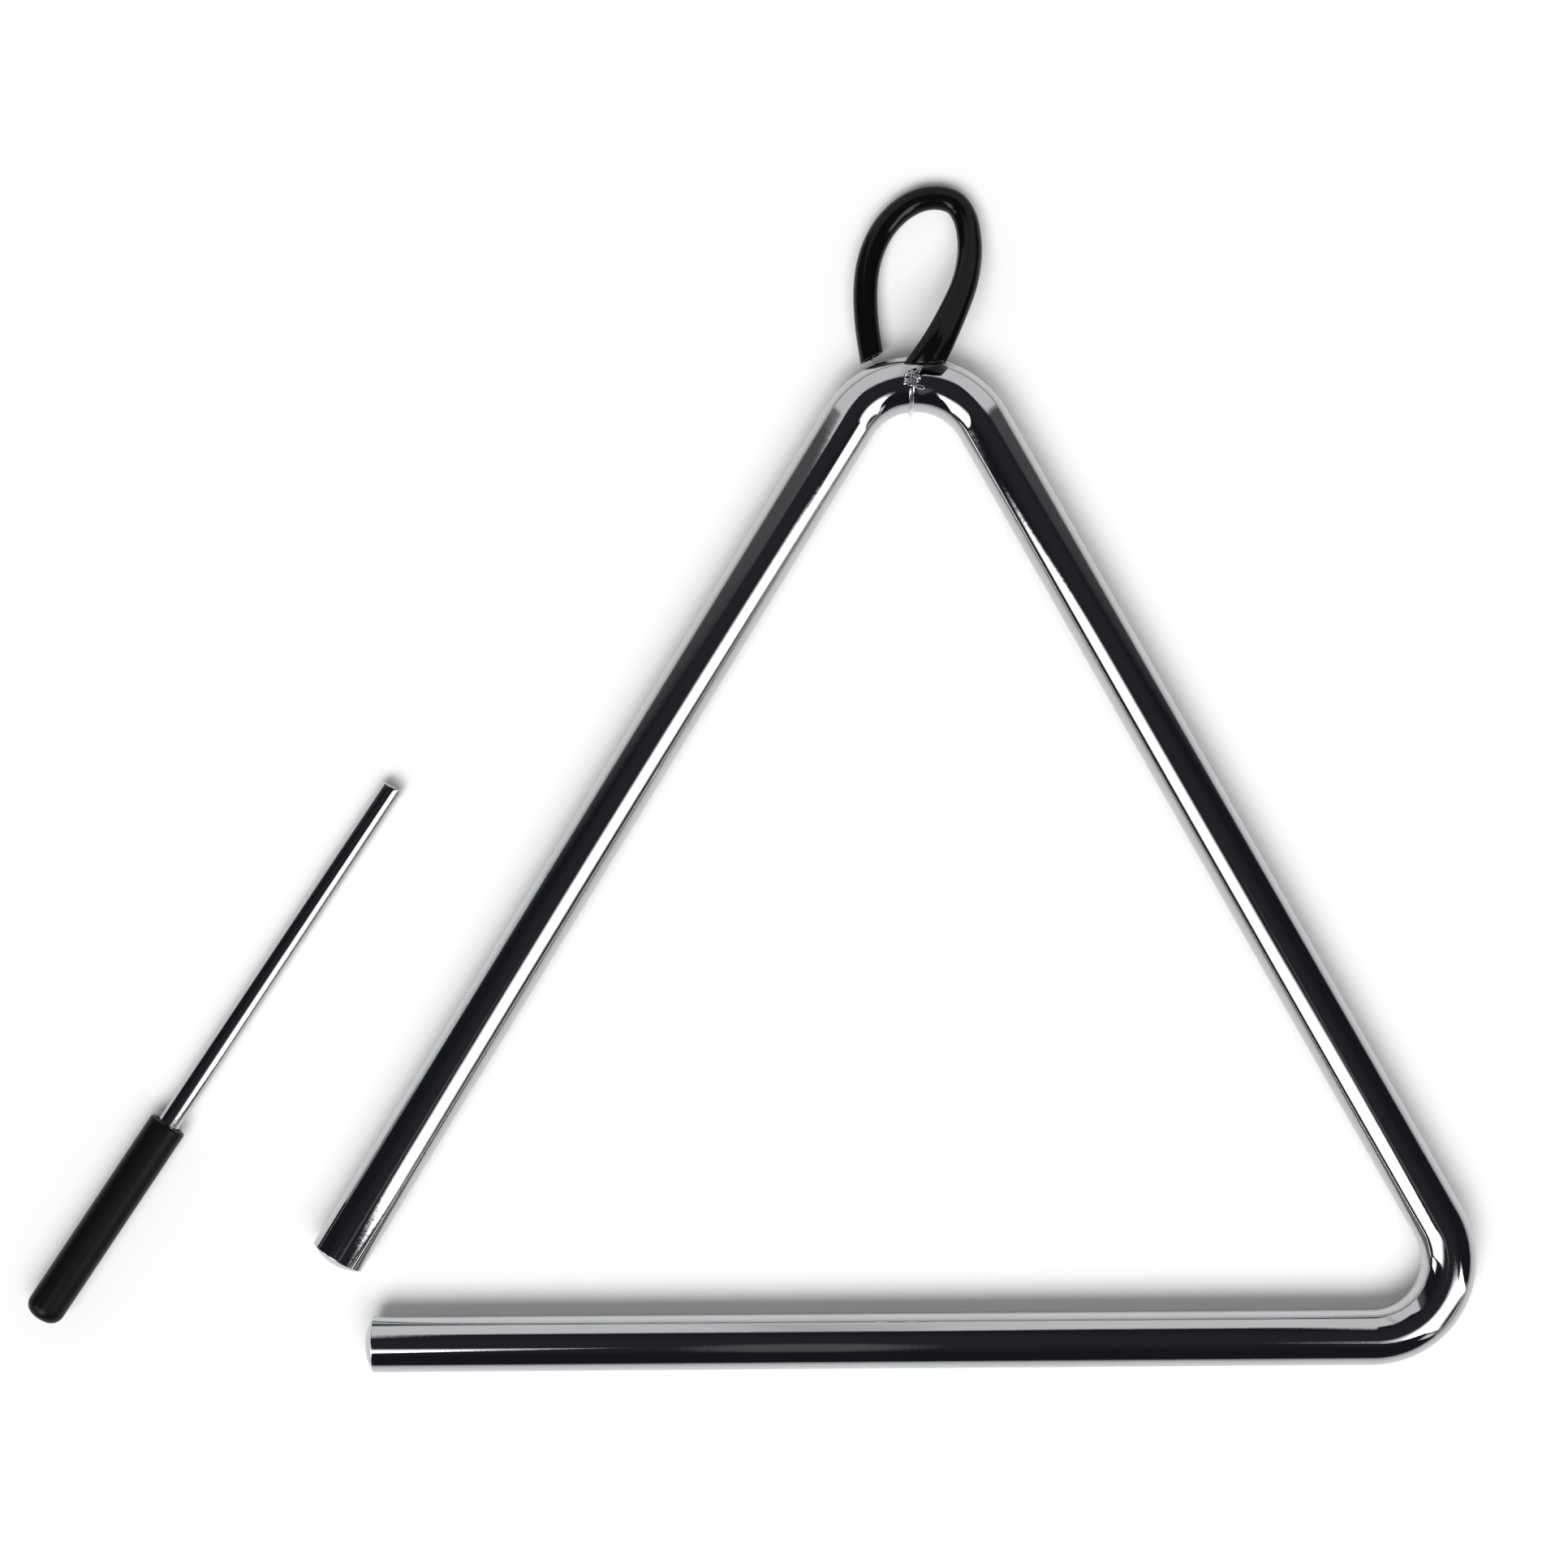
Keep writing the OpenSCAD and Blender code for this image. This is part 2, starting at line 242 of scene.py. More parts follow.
def mix_shaders(tree, share, first, second):
    node = tree.nodes.new("ShaderNodeMixShader")
    for socket, value in zip(node.inputs, (share, first, second)):
        tree.links.new(value, socket)
    return node.outputs[0]


def chrome(name, roughness):
    """Polished plating with faint clouds, smeared gloss, and a broad swell under a fine grain."""
    mat, tree, bsdf = new_material(name)
    bsdf.inputs["Metallic"].default_value = 1
    ramp(tree, noise(tree, cells=60, detail=3), NOISE_SPAN,
         [CHROME_TINT, scaled(CHROME_TINT, CHROME_CLOUD)], bsdf.inputs["Base Color"])
    ramp(tree, noise(tree, cells=220, detail=4, rough=0.6), CHROME_SMEAR_SPAN,
         greys(roughness, CHROME_SMEAR), bsdf.inputs["Roughness"])
    fine = noise(tree, cells=900, detail=3, rough=0.6)
    broad = noise(tree, cells=45, detail=1)
    bump(tree, bsdf, math_node(tree, "MULTIPLY_ADD", broad, CHROME_SWELL, fine), CHROME_BUMP)
    return mat


def pvc(name, tone, roughness, gloss):
    """Soft black plastic with faint clouds, smeared gloss and shallow bumps."""
    mat, tree, bsdf = new_material(name)
    bsdf.inputs["Specular IOR Level"].default_value = gloss
    dark = scaled(PVC_TINT, tone)
    ramp(tree, noise(tree, cells=150, detail=3), NOISE_SPAN, [dark, scaled(dark, PVC_CLOUD)],
         bsdf.inputs["Base Color"])
    ramp(tree, noise(tree, cells=260, detail=3), PVC_SMEAR_SPAN, greys(roughness, PVC_SMEAR),
         bsdf.inputs["Roughness"])
    bump(tree, bsdf, noise(tree, cells=500, detail=2), PVC_BUMP, PVC_BUMP_SHARE)
    return mat


def clear_line(name):
    """Clear nylon, here and there a little cloudy or matt."""
    mat, tree, bsdf = new_material(name)
    bsdf.inputs["Transmission Weight"].default_value = 1
    bsdf.inputs["IOR"].default_value = LINE_IOR
    ramp(tree, noise(tree, cells=500, detail=2), NOISE_SPAN, LINE_TINTS, bsdf.inputs["Base Color"])
    ramp(tree, noise(tree, cells=900, detail=2), NOISE_SPAN, greys(1, LINE_ROUGHNESS),
         bsdf.inputs["Roughness"])
    return mat


# Mesh making

# Radius of the small flat that closes a round end
CLOSED_R = 0.02 * MM


def linked_mesh(name, verts, faces):
    """A new object of these points and faces."""
    mesh = bpy.data.meshes.new(name)
    mesh.from_pydata([tuple(v) for v in verts], [], faces)
    obj = bpy.data.objects.new(name, mesh)
    bpy.context.collection.objects.link(obj)
    return obj


def new_piece(name, verts, faces, material, body, node, place):
    """A piece laid in its place in the row frame, riding on a body and standing for a node."""
    obj = linked_mesh(name, [place @ v for v in verts], faces)
    obj.data.validate()
    obj.data.shade_smooth()
    obj.data.materials.append(material)
    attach(obj, body)
    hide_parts(node)
    return obj


def lofted(rings, closed_start=True, closed_end=True):
    """Points and faces of rings of equal size, with one flat face at each closed end."""
    sides = len(rings[0])
    verts = [v for ring in rings for v in ring]
    faces = []
    for i in range(len(rings) - 1):
        for k in range(sides):
            a = i * sides + k
            b = i * sides + (k + 1) % sides
            faces.append((a, b, b + sides, a + sides))
    if closed_start:
        faces.append(tuple(reversed(range(sides))))
    if closed_end:
        last = (len(rings) - 1) * sides
        faces.append(tuple(range(last, last + sides)))
    return verts, faces


def ring_at(centre, across, over, radius, sides):
    """A ring about a centre, in the plane of two directions."""
    return [centre + radius * (math.cos(2 * math.pi * k / sides) * across
                               + math.sin(2 * math.pi * k / sides) * over)
            for k in range(sides)]


def revolved(profile, sides):
    """Rings about Z from a profile of (radius, height) points."""
    return [[Vector((r * math.cos(2 * math.pi * k / sides), r * math.sin(2 * math.pi * k / sides), z))
             for k in range(sides)] for r, z in profile]


def quarter(centre, radius, start, end, steps):
    """Points of an arc in a profile, from one angle in degrees to another."""
    return [(centre[0] + radius * math.cos(math.radians(mix(start, end, i / steps))),
             centre[1] + radius * math.sin(math.radians(mix(start, end, i / steps))))
            for i in range(steps + 1)]


def smooth_route(points, steps):
    """A smooth curve through the points, with this many steps from each to the next."""
    def at(i):
        return points[max(0, min(len(points) - 1, i))]

    out = []
    for i in range(len(points) - 1):
        a, b, c, d = at(i - 1), at(i), at(i + 1), at(i + 2)
        for k in range(steps):
            s = k / steps
            out.append((2 * b + (c - a) * s + (2 * a - 5 * b + 4 * c - d) * s * s
                        + (3 * b - a - 3 * c + d) * s ** 3) / 2)
    out.append(points[-1].copy())
    return out


def tangents(path):
    """The directions of a path at its points."""
    last = len(path) - 1
    return [(path[min(i + 1, last)] - path[max(i - 1, 0)]).normalized() for i in range(last + 1)]


# Bar

BAR_SIDES = 96
BEND_STEPS = 72
RUN_STEP = 6 * MM
EDGE_R = 0.15 * MM
EDGE_TURNS = 8
CROWN_TURNS = 10
CROWN_R = (BAR_R ** 2 + END_DOME ** 2) / (2 * END_DOME)


def bar_stations():
    """Points and headings along the bar's centre line, from the base leg's tip."""
    stations = []

    def run(start, turn, length):
        count = max(2, round(length / RUN_STEP))
        for i in range(count):
            stations.append((start + heading(turn) * (length * i / count), turn))

    def bend(centre, radius, start, turn):
        for i in range(BEND_STEPS):
            angle = start + turn * i / BEND_STEPS
            stations.append((centre + radius * heading(angle - 90), angle))

    run(Vector((-BASE_REACH + END_DOME + EDGE_R, 0, 0)), 0, BASE_STRAIGHT - END_DOME - EDGE_R)
    bend(CORNER_CENTRE, CORNER_R, 0, RIGHT_TURN)
    run(RIGHT_START, RIGHT_TURN, RIGHT_STRAIGHT)
    bend(APEX_CENTRE, APEX_R, RIGHT_TURN, LEFT_TURN - RIGHT_TURN)
    run(LEFT_START, LEFT_TURN, LEFT_STRAIGHT - END_DOME - EDGE_R)
    stations.append((LEFT_END - heading(LEFT_TURN) * (END_DOME + EDGE_R), LEFT_TURN))
    return stations


def make_bar(material):
    # Profile of a crowned end: its rounded edge, then part of a sphere, as (radius, depth)
    reach = math.sqrt((CROWN_R - EDGE_R) ** 2 - (BAR_R - EDGE_R) ** 2)
    half = math.degrees(math.asin((BAR_R - EDGE_R) / (CROWN_R - EDGE_R)))
    profile = [(BAR_R - EDGE_R + EDGE_R * math.sin(a), CROWN_R - reach - EDGE_R * math.cos(a))
               for a in [math.radians(mix(90, half, i / EDGE_TURNS)) for i in range(EDGE_TURNS + 1)]]
    profile += [(CROWN_R * math.sin(a), CROWN_R * (1 - math.cos(a)))
                for a in [math.radians(half * (1 - i / CROWN_TURNS)) for i in range(1, CROWN_TURNS)]]
    profile.append((CLOSED_R, 0))

    def end_rings(tip, turn, outward):
        return [ring_at(tip - heading(turn) * (outward * depth), heading(turn - 90), UP, radius,
                        BAR_SIDES) for radius, depth in profile]

    rings = list(reversed(end_rings(Vector((-BASE_REACH, 0, 0)), 0, -1)))
    rings += [ring_at(p, heading(turn - 90), UP, BAR_R, BAR_SIDES) for p, turn in bar_stations()]
    rings += end_rings(LEFT_END, LEFT_TURN, 1)
    verts, faces = lofted(rings)
    return new_piece("bar", verts, faces, material, "triangle", "triangle_bar", LAY)


# Hanger's tube: the loop's route, as in the part, in shares of its width, reach and rise

LOOP_SHARES = [
    (-0.414, 0.004, 0.1), (-0.458, 0.2, 0.08), (-0.472, 0.4, 0.06), (-0.445, 0.57, 0.04),
    (-0.375, 0.71, 0.02), (-0.265, 0.83, 0.01), (-0.105, 0.93, 0), (0.08, 0.99, 0),
    (0.265, 1, 0), (0.415, 0.965, 0.01), (0.505, 0.88, 0.03), (0.545, 0.76, 0.1),
    (0.545, 0.62, 0.21), (0.49, 0.45, 0.42), (0.375, 0.27, 0.68), (0.225, 0.08, 0.93),
    (0.08, -0.07, 1)]

# The pinched end lies over the bar, at its gap all round
PINCH_HEIGHT = 2 * (LINE_R + LINE_SLACK + SLEEVE_WALL)
PINCH_R = BAR_R + SWING_GAP + PINCH_HEIGHT / 2
MOUTH_Y = BAR_R + LOOP_SHARES[-1][1] * LOOP_REACH
MOUTH_Z = math.sqrt(PINCH_R ** 2 - MOUTH_Y ** 2)

# Shares of the route where the pinch starts and over which a cut end leans, and the section's form
PINCH_SHARE = 0.66
PINCH_POWER = 2.2
LOBE_POWER = 0.75
CREASE_SHARE = 0.45
CUT_SHARE = 0.12
SLEEVE_SIDES = 64
SLEEVE_STEPS = 14
SLEEVE_EDGE = 0.14 * MM
EDGE_STEPS = 4


def loop_point(share):
    """A point of the loop's route, from the table up to the pinched end."""
    y = BAR_R + share[1] * LOOP_REACH
    table = SLEEVE_R - BAR_R - APEX_LIFT - y * math.sin(REST_TILT)
    return Vector((share[0] * LOOP_WIDTH, y, mix(table, MOUTH_Z, share[2])))


LOOP_ROUTE = [loop_point(share) for share in LOOP_SHARES]
SLEEVE_PATH = smooth_route(LOOP_ROUTE, SLEEVE_STEPS)
SLEEVE_TANGENTS = tangents(SLEEVE_PATH)


def sleeve_ring(i, inset, shift=0.0):
    """Section of the tube at a point of its path: round, or pinched into two lobes."""
    p, t = SLEEVE_PATH[i], SLEEVE_TANGENTS[i]
    share = i / (len(SLEEVE_PATH) - 1)
    pinch = max(0.0, (share - PINCH_SHARE) / (1 - PINCH_SHARE)) ** PINCH_POWER
    over = (UP - t.z * t).normalized()
    across = t.cross(over)
    lean = (math.tan(math.radians(CUT_SLANT)) * max(0, 1 - share / CUT_SHARE)
            + t.x / t.y * max(0, 1 - (1 - share) / CUT_SHARE))
    wide = mix(SLEEVE_R, PINCH_WIDTH / 2, pinch) - inset
    high = mix(SLEEVE_R, PINCH_HEIGHT / 2, pinch) - inset
    dent = CREASE_DEPTH * max(0.0, 1 - inset / SLEEVE_WALL)
    ring = []
    for k in range(SLEEVE_SIDES):
        a = 2 * math.pi * k / SLEEVE_SIDES
        lobe = math.copysign(abs(math.sin(a)) ** LOBE_POWER, math.sin(a))
        crease = 1 - min(1, abs(math.cos(a)) / CREASE_SHARE) ** 2 if math.sin(a) > 0 else 0
        u = wide * math.cos(a)
        v = high * mix(math.sin(a), lobe, pinch) - dent * pinch * crease
        ring.append(p + u * (across + lean * t) + v * over + shift * t)
    return ring


def make_sleeve(material):
    last = len(SLEEVE_PATH) - 1

    def edge(i, inward):
        """Rounded rim from the outer wall over to the inner wall."""
        outer = [(SLEEVE_EDGE * (1 - math.cos(a)), SLEEVE_EDGE * (1 - math.sin(a)))
                 for a in [math.pi / 2 * k / EDGE_STEPS for k in range(EDGE_STEPS + 1)]]
        inner = [(SLEEVE_WALL - inset, shift) for inset, shift in reversed(outer)]
        return [sleeve_ring(i, inset, inward * shift) for inset, shift in outer + inner]

    outside = [sleeve_ring(i, 0) for i in range(1, last)]
    inside = [sleeve_ring(i, SLEEVE_WALL) for i in range(last - 1, 0, -1)]
    rings = list(reversed(edge(0, 1))) + outside + edge(last, -1) + inside

    # The last ring meets the first one, so the wall is one closed skin
    verts, faces = lofted(rings + [rings[0]], closed_start=False, closed_end=False)
    count = len(rings) * SLEEVE_SIDES
    faces = [tuple(v % count for v in face) for face in faces]
    return new_piece("loop_sleeve", verts[:count], faces, material, "hanger",
                     "hanger_sleeve", AT_HINGE)


# Hanger's line: cut end, knot, tube, turn round the bar and back into the knot

# Angles round the bar start level on the loop's side and rise over the bar
KNOT_EXIT = 20
KNOT_GAP = 7
KNOT_STEPS = 32
WRAP_FROM = -40
WRAP_TO = -225
WRAP_STEPS = 36
WRAP_SHARE = 1.6
LINE_SIDES = 16
LINE_STEPS = 4
RETURN_STEPS = 2
LINE_EDGE = 0.08 * MM
KNOT_RING = 2 * LINE_R + KNOT_ROOM
KNOT_R = BAR_R + LINE_GAP + LINE_R + KNOT_RING
KNOT_TURN = math.degrees(KNOT_LENGTH / KNOT_R)
KNOT_NEAR = math.degrees(math.atan2(MOUTH_Z, MOUTH_Y)) + KNOT_GAP
KNOT_FAR = KNOT_NEAR + KNOT_TURN - 360
TAIL_SHARES = [(0.9, 0.45, 0.35), (0.55, 0.2, 0.25), (0.25, 0.04, 0.12)]
LINK_SHARES = [(1, 0.65, 0.08), (0.95, 0.26, 0.28), (0.81, 0.12, 0.4), (0.58, 0.1, 0.53),
               (0.33, 0.06, 0.69)]
RISE_SHARES = [0.12, 0.45, 0.8, 1]
THROUGH_SHARES = [0.3, 0.6, 0.9]


def around(x, radius, angle):
    """A point beside the hinge, at a radius and an angle round the bar."""
    a = math.radians(angle)
    return Vector((x, radius * math.cos(a), radius * math.sin(a)))


def on_bend(along, radius, angle):
    """The same, but carried along the apex's bend by an angle."""
    a, b = math.radians(angle), math.radians(along)
    reach = APEX_R + radius * math.cos(a)
    return Vector((reach * math.sin(b), reach * math.cos(b) - APEX_R, radius * math.sin(a)))


def line_path():
    """The line's route in three parts: its cut end, knot and tube, and its way back."""
    def knot_point(s):
        b = math.radians(KNOT_EXIT - 360 * KNOT_TURNS * (1 - s))
        return around(KNOT_RING * math.cos(b) - KNOT_LEFT, KNOT_R + KNOT_RING * math.sin(b),
                      KNOT_NEAR + KNOT_TURN * (1 - s))

    coil = [knot_point(i / KNOT_STEPS) for i in range(KNOT_STEPS + 1)]
    tail = [coil[0] + TAIL_LENGTH * Vector((s[0], -s[2], s[1])) for s in TAIL_SHARES]
    inside = smooth_route(list(reversed(LOOP_ROUTE)), LINE_STEPS)
    start = LOOP_ROUTE[0]
    open_bend = math.degrees(math.atan2(start.x, start.y + APEX_R))
    open_reach = math.hypot(start.x, start.y + APEX_R) - APEX_R
    open_angle = math.degrees(math.atan2(start.z, open_reach))
    open_radius = math.hypot(open_reach, start.z)
    link = [on_bend(s[0] * open_bend, mix(WRAP_R, open_radius, s[1]),
                    mix(open_angle, WRAP_FROM, s[2])) for s in LINK_SHARES]
    wrap = [around(-KNOT_LEFT * mix(WRAP_SHARE, 1, i / WRAP_STEPS), WRAP_R,
                   mix(WRAP_FROM, WRAP_TO, i / WRAP_STEPS)) for i in range(WRAP_STEPS + 1)]
    rise = [around(-KNOT_LEFT, mix(WRAP_R, KNOT_R, share),
                   mix(WRAP_TO, KNOT_FAR, (i + 1) / len(RISE_SHARES)))
            for i, share in enumerate(RISE_SHARES)]
    through = [around(-KNOT_LEFT, KNOT_R, KNOT_FAR - KNOT_TURN * s) for s in THROUGH_SHARES]
    return tail, coil + inside, link + wrap + rise + through


def make_line(material):
    tail, middle, rest = line_path()
    path = smooth_route(tail + middle[:1], LINE_STEPS)[:-1] + middle
    path += smooth_route(middle[-1:] + rest, RETURN_STEPS)[1:]
    stations, normal = [], UP
    for p, t in zip(path, tangents(path)):
        normal = (normal - normal.dot(t) * t).normalized()
        stations.append((p, t, normal))

    def ring(station, radius, shift=0.0):
        p, t, n = station
        return ring_at(p + shift * t, t.cross(n), n, radius, LINE_SIDES)

    rings = [ring(stations[0], LINE_R - LINE_EDGE), ring(stations[0], LINE_R, LINE_EDGE)]
    rings += [ring(station, LINE_R) for station in stations[1:-1]]
    rings += [ring(stations[-1], LINE_R, -LINE_EDGE), ring(stations[-1], LINE_R - LINE_EDGE)]
    verts, faces = lofted(rings)
    return new_piece("loop_line", verts, faces, material, "hanger", "hanger_line", AT_HINGE)


# Beater, built upright with the rod's tip at 0, 0, 0

ROD_SIDES = 72
GRIP_SIDES = 96
ROD_STEP = 3 * MM
ROD_EDGE = 0.45 * MM
GRIP_WALL_FIT = 0.02 * MM
TIP_SLANT = 5
TIP_SPAN = 1.2 * MM
ARC_STEPS = 8


def make_rod(material):
    length = ROD_BARE + ROD_HELD
    runs = round(length / ROD_STEP)
    profile = [(CLOSED_R, 0)]
    profile += quarter((ROD_R - ROD_EDGE, ROD_EDGE), ROD_EDGE, -90, 0, ARC_STEPS)
    profile += [(ROD_R, mix(TIP_SPAN, length - TIP_SPAN, i / runs)) for i in range(runs + 1)]
    profile += quarter((ROD_R - ROD_EDGE, length - ROD_EDGE), ROD_EDGE, 0, 90, ARC_STEPS)
    profile += [(CLOSED_R, length)]
    rings = revolved(profile, ROD_SIDES)

    # The tip is cut at a slant that dies out over its span
    for v in [v for ring in rings for v in ring if v.z < TIP_SPAN]:
        v.z += (ROD_R - v.y) * math.tan(math.radians(TIP_SLANT)) * (1 - v.z / TIP_SPAN)
    verts, faces = lofted(rings)
    return new_piece("rod", verts, faces, material, "beater", "beater_rod", LAY_BEATER)


def make_grip(material):
    # Profile from the bore's closed end out over the lip and along the grip to its round end
    bore = ROD_R + GRIP_WALL_FIT
    soft = min(LIP_ROUND, (GRIP_R - bore) / 2)
    steps = round(GRIP_LENGTH / ROD_STEP)
    profile = [(CLOSED_R, ROD_HELD + GRIP_WALL_FIT), (bore, ROD_HELD + GRIP_WALL_FIT)]
    profile += [(bore, mix(ROD_HELD, 2 * soft, i / steps)) for i in range(steps + 1)]
    profile += quarter((bore + soft, soft), soft, 180, 270, ARC_STEPS)
    profile += quarter((GRIP_R - soft, soft), soft, -90, 0, ARC_STEPS)
    profile += [(GRIP_R, mix(2 * soft, GRIP_LENGTH - GRIP_ROUND - LIP_ROUND, i / steps))
                for i in range(steps + 1)]
    profile += quarter((GRIP_R - GRIP_ROUND, GRIP_LENGTH - GRIP_ROUND), GRIP_ROUND, 0, 90,
                       2 * ARC_STEPS)
    profile += [(CLOSED_R, GRIP_LENGTH)]
    rings = revolved([(r, z + ROD_BARE) for r, z in profile], GRIP_SIDES)
    verts, faces = lofted(rings)
    return new_piece("grip", verts, faces, material, "beater", "beater_grip", LAY_BEATER)


# Studio: pale floor, soft light, and the lamps, grey wall and dark room that the chrome shows

WHITE = (1, 1, 1, 1)

# Floor: its tone, its lift to white for the eye, its gloss, and the tone of the dark room that this
# gloss shows as a painted reflection
FLOOR_R = 1.4
FLOOR_SIDES = 96
FLOOR_TONE = 0.95
FLOOR_LIFT = 0.05
FLOOR_IOR = 2.5
# Painted reflection: the flat dark tone that stands in for the room mirrored by the floor at a flat
# angle
PAINTED_ROOM_TONE = 0.03

# Dark room, whose colours follow its height, and the weak even sky that lights the object
DOME_R = 5.0
DOME_RINGS = 24
DOME_SIDES = 64
HORIZON = (0.03, 0.0305, 0.033)
DARK_WALL = (0.0125, 0.013, 0.0155)
CEILING = (0.024, 0.0245, 0.028)
DOME_PLACES = (0, 0.1, 0.72, 0.97)
DOME_COLOURS = (HORIZON, DARK_WALL, DARK_WALL, CEILING)
SKY = (0.97, 0.98, 1, 1)
AMBIENT = 0.2

# Cards: their mesh, the distance at which facing cards are laid out, and how bright they glow
CARD_STEPS = 80
CARD_UNIT = 0.6
LAMP_GLOW = 1.55
HOT_SHARE = 1.8
FOOT_GLOW = 0.42
WALL_GLOW = 0.62
HALO_GLOW = 0.085
PATCH_GLOW = 0.07


def floor_material():
    """Pale and matt, and a little lifted where the camera or the chrome sees it."""
    mat, tree, bsdf = new_material("floor")
    bsdf.inputs["Base Color"].default_value = (*grey(FLOOR_TONE), 1)
    bsdf.inputs["Roughness"].default_value = 1
    bsdf.inputs["Specular IOR Level"].default_value = 0
    bsdf.inputs["Emission Color"].default_value = WHITE
    path = tree.nodes.new("ShaderNodeLightPath")
    glossy = path.outputs["Is Glossy Ray"]
    seen = math_node(tree, "MAXIMUM", path.outputs["Is Camera Ray"], glossy)
    tree.links.new(math_node(tree, "MULTIPLY", seen, FLOOR_LIFT), bsdf.inputs["Emission Strength"])

    # The floor's gloss, which only the chrome shows: at a flat angle the floor turns into a flat glow
    # of the dark room's tone, a painted reflection of the room rather than a mirror of it
    gloss = tree.nodes.new("ShaderNodeFresnel")
    gloss.inputs["IOR"].default_value = FLOOR_IOR
    share = math_node(tree, "MULTIPLY", gloss.outputs[0], glossy)
    room = tree.nodes.new("ShaderNodeEmission")
    room.inputs["Color"].default_value = (*grey(PAINTED_ROOM_TONE), 1)
    show(tree, mix_shaders(tree, share, bsdf.outputs[0], room.outputs[0]))
    mat.cycles.emission_sampling = "NONE"
    return mat


def make_floor():
    rim = revolved([(FLOOR_R, 0)], FLOOR_SIDES)[0]
    obj = linked_mesh("floor", rim, [tuple(range(FLOOR_SIDES))])
    obj.data.materials.append(floor_material())


def make_world():
    """White where it is seen, and a weak even sky for the light on the object."""
    world = bpy.data.worlds.new("studio")
    bpy.context.scene.world = world
    world.use_nodes = True
    tree = world.node_tree
    tree.nodes.clear()

    def background(colour, strength):
        node = tree.nodes.new("ShaderNodeBackground")
        node.inputs["Color"].default_value = colour
        node.inputs["Strength"].default_value = strength
        return node.outputs[0]

    path = tree.nodes.new("ShaderNodeLightPath")
    seen = math_node(tree, "MAXIMUM", path.outputs["Is Camera Ray"], path.outputs["Is Glossy Ray"])
    seen = math_node(tree, "MAXIMUM", seen, path.outputs["Is Transmission Ray"])
    blend = mix_shaders(tree, seen, background(SKY, AMBIENT), background(WHITE, 1))
    out = tree.nodes.new("ShaderNodeOutputWorld")
    tree.links.new(blend, out.inputs["Surface"])


def only_in_reflections(obj):
    """Let glossy rays alone see a stage object, which then gives no light and no shadow."""
    obj.visible_camera = False
    obj.visible_diffuse = False
    obj.visible_transmission = False
    obj.visible_volume_scatter = False
    obj.visible_shadow = False


def dark_dome():
    """The dark room, which the clear line shows too."""
    angles = [math.radians(90 * i / DOME_RINGS) for i in range(1, DOME_RINGS + 1)]
    rings = revolved([(DOME_R * math.sin(a), DOME_R * math.cos(a)) for a in angles], DOME_SIDES)
    verts, faces = lofted(rings, closed_end=False)
    obj = linked_mesh("dome", verts, faces)
    mat, tree, glow = new_glow("dark_room")
    coord = tree.nodes.new("ShaderNodeTexCoord")
    parts = tree.nodes.new("ShaderNodeSeparateXYZ")
    tree.links.new(coord.outputs["Object"], parts.inputs[0])
    height = math_node(tree, "DIVIDE", parts.outputs["Z"], DOME_R)
    ramp(tree, height, DOME_PLACES, DOME_COLOURS, glow.inputs["Color"])
    show(tree, glow.outputs[0])
    mat.cycles.emission_sampling = "NONE"
    obj.data.materials.append(mat)
    only_in_reflections(obj)
    obj.visible_transmission = True


def glow_card(name, place, low, high, level):
    """A clear card whose points lie at place(u, v) and glow by level(u, v)."""
    verts, glows = [], []
    for j in range(CARD_STEPS + 1):
        for i in range(CARD_STEPS + 1):
            u = mix(low[0], high[0], i / CARD_STEPS)
            v = mix(low[1], high[1], j / CARD_STEPS)
            verts.append(place(u, v))
            glows.append(level(u, v))
    row = CARD_STEPS + 1
    faces = [(j * row + i, j * row + i + 1, (j + 1) * row + i + 1, (j + 1) * row + i)
             for j in range(CARD_STEPS) for i in range(CARD_STEPS)]
    obj = linked_mesh(name, verts, faces)
    obj.data.attributes.new("glow", "FLOAT", "POINT").data.foreach_set("value", glows)
    mat, tree, glow = new_glow(name)
    shape = tree.nodes.new("ShaderNodeAttribute")
    shape.attribute_name = "glow"
    tree.links.new(shape.outputs["Fac"], glow.inputs["Strength"])
    both = tree.nodes.new("ShaderNodeAddShader")
    tree.links.new(tree.nodes.new("ShaderNodeBsdfTransparent").outputs[0], both.inputs[0])
    tree.links.new(glow.outputs[0], both.inputs[1])
    show(tree, both.outputs[0])
    obj.data.materials.append(mat)
    only_in_reflections(obj)


def facing_card(name, plan, azimuth, elevation, distance, low, high, level):
    """A flat glowing card that faces a place on the floor, laid out as if CARD_UNIT away."""
    away = skyward(azimuth, elevation)
    side = heading(azimuth + 90)
    up = away.cross(side)
    centre = Vector((*plan, 0)) + distance * away
    size = distance / CARD_UNIT
    glow_card(name, lambda u, v: centre + size * (u * side + v * up), low, high, level)


# How the cards glow: soft edges between places on the card, u across and v up, and shares of its glow

def lamp_level(lit):
    """A soft lamp whose lit middle is much brighter than its edges."""
    return LAMP_GLOW * lit * (1 + HOT_SHARE * smooth(0.75, 1, lit))


